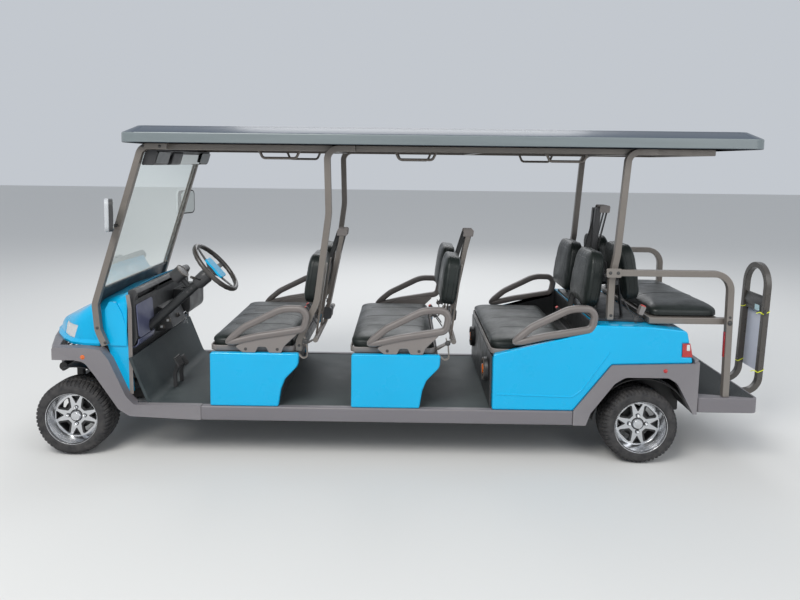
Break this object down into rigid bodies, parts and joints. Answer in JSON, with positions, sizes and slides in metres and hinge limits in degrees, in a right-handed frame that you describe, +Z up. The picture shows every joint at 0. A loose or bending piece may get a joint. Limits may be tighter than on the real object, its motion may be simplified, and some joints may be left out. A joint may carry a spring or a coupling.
{
  "type": "golf cart",
  "caption": "Long electric golf cart with forward-facing bench rows, a rear-facing flip seat with footplate, a full-length roof and a clear windscreen.",
  "frame": {"origin": "on the ground, midway between the front bumper and the rear hoop, on the cart's centre plane", "axes": "+X towards the rear of the cart, +Y towards its right-hand side, +Z up"},
  "size_m": [4.7118, 1.5252, 1.999],
  "materials": {
    "body_paint": "glossy azure blue moulded body, clear coat",
    "roof_plastic": "glossy blue-black thermoformed roof",
    "dark_trim": "satin warm dark-grey moulded trim",
    "black_plastic": "satin black moulded plastic",
    "frame_tube": "satin grey-bronze powder coat on steel tube",
    "chassis_steel": "black powder coat on welded steel",
    "seat_leather": "black leatherette, soft sheen",
    "floor_mat": "ribbed black rubber mat",
    "clear_glass": "clear acrylic windscreen",
    "lamp_white": "clear lamp lens over a bright reflector",
    "lamp_red": "red lamp lens",
    "wheel_metal": "machined alloy with dark pockets",
    "tyre_rubber": "black rubber",
    "cast_parts": "plain cast and forged steel",
    "block_grey": "plain grey housing"
  },
  "bodies": {
    "chassis": {"chassis_frame": "chassis_steel", "floor_deck": "floor_mat", "sill_panels": "dark_trim", "front_cowl": "body_paint", "front_fenders": "dark_trim", "rear_fenders": "dark_trim", "wheel_liners": "black_plastic", "dashboard": "black_plastic", "headlamps": "lamp_white", "tail_lamps": "lamp_red", "windscreen_struts": "frame_tube", "windscreen_glass": "clear_glass", "windscreen_lower_panel": "black_plastic", "roof_shell": "roof_plastic", "roof_frame": "frame_tube", "roof_posts": "frame_tube", "seat_side_panels": "body_paint", "seat_boxes": "black_plastic", "seat_cushions": "seat_leather", "seat_backs": "seat_leather", "rear_facing_backs": "seat_leather", "armrests": "dark_trim", "seat_back_frames": "frame_tube", "rear_body": "body_paint", "third_row_front_panel": "black_plastic", "rear_deck": "black_plastic", "rear_step": "dark_trim", "grab_rails": "frame_tube", "safety_hoop": "frame_tube", "front_suspension": "chassis_steel", "rear_axle": "cast_parts", "drive_motor": "block_grey", "battery_pack": "block_grey", "steering_column": "black_plastic", "pedals": "black_plastic", "side_mirrors": "block_grey", "overhead_console": "black_plastic"},
    "knuckle_left": {"knuckle_left": "cast_parts"},
    "knuckle_right": {"knuckle_right": "cast_parts"},
    "tie_rod": {"tie_rod": "cast_parts"},
    "steering_wheel": {"steering_wheel": "black_plastic"},
    "rear_seat": {"rear_seat_frame": "frame_tube", "rear_seat_cushion": "seat_leather"},
    "wheel_front_left": {"tyre_front_left": "tyre_rubber", "rim_front_left": "wheel_metal"},
    "wheel_front_right": {"tyre_front_right": "tyre_rubber", "rim_front_right": "wheel_metal"},
    "wheel_rear_left": {"tyre_rear_left": "tyre_rubber", "rim_rear_left": "wheel_metal"},
    "wheel_rear_right": {"tyre_rear_right": "tyre_rubber", "rim_rear_right": "wheel_metal"}
  },
  "joints": [
    {"name": "steer_left", "type": "hinge", "parent": "chassis", "child": "knuckle_left", "pos_m": [-2.0635, -0.4, 0.228], "axis": [0, 0, 1], "range_deg": [-27, 27]},
    {"name": "steer_right", "type": "hinge", "parent": "chassis", "child": "knuckle_right", "pos_m": [-2.0635, 0.4, 0.228], "axis": [0, 0, 1], "range_deg": [-27, 27]},
    {"name": "roll_front_left", "type": "hinge", "parent": "knuckle_left", "child": "wheel_front_left", "pos_m": [-2.0635, -0.4925, 0.228], "axis": [0, 1, 0], "continuous": true},
    {"name": "roll_front_right", "type": "hinge", "parent": "knuckle_right", "child": "wheel_front_right", "pos_m": [-2.0635, 0.4925, 0.228], "axis": [0, 1, 0], "continuous": true},
    {"name": "roll_rear_left", "type": "hinge", "parent": "chassis", "child": "wheel_rear_left", "pos_m": [1.3765, -0.4925, 0.228], "axis": [0, 1, 0], "continuous": true},
    {"name": "roll_rear_right", "type": "hinge", "parent": "chassis", "child": "wheel_rear_right", "pos_m": [1.3765, 0.4925, 0.228], "axis": [0, 1, 0], "continuous": true},
    {"name": "tie_rod_slide", "type": "slide", "parent": "chassis", "child": "tie_rod", "axis": [0, 1, 0], "range_m": [-0.055, 0.055]},
    {"name": "steering_wheel_turn", "type": "hinge", "parent": "chassis", "child": "steering_wheel", "pos_m": [-1.2585, -0.3, 1.122], "axis": [0.7431, 0, 0.6691], "range_deg": [-272, 272]},
    {"name": "rear_seat_flip", "type": "hinge", "parent": "chassis", "child": "rear_seat", "pos_m": [1.8795, 0, 0.871], "axis": [0, 1, 0], "range_deg": [0, 140]}
  ],
  "couplings": [
    {"joint": "steer_right", "follows": "steer_left", "ratio": 1},
    {"joint": "tie_rod_slide", "follows": "steer_left", "m_per_rad": 0.115},
    {"joint": "steering_wheel_turn", "follows": "steer_left", "ratio": 10}
  ]
}
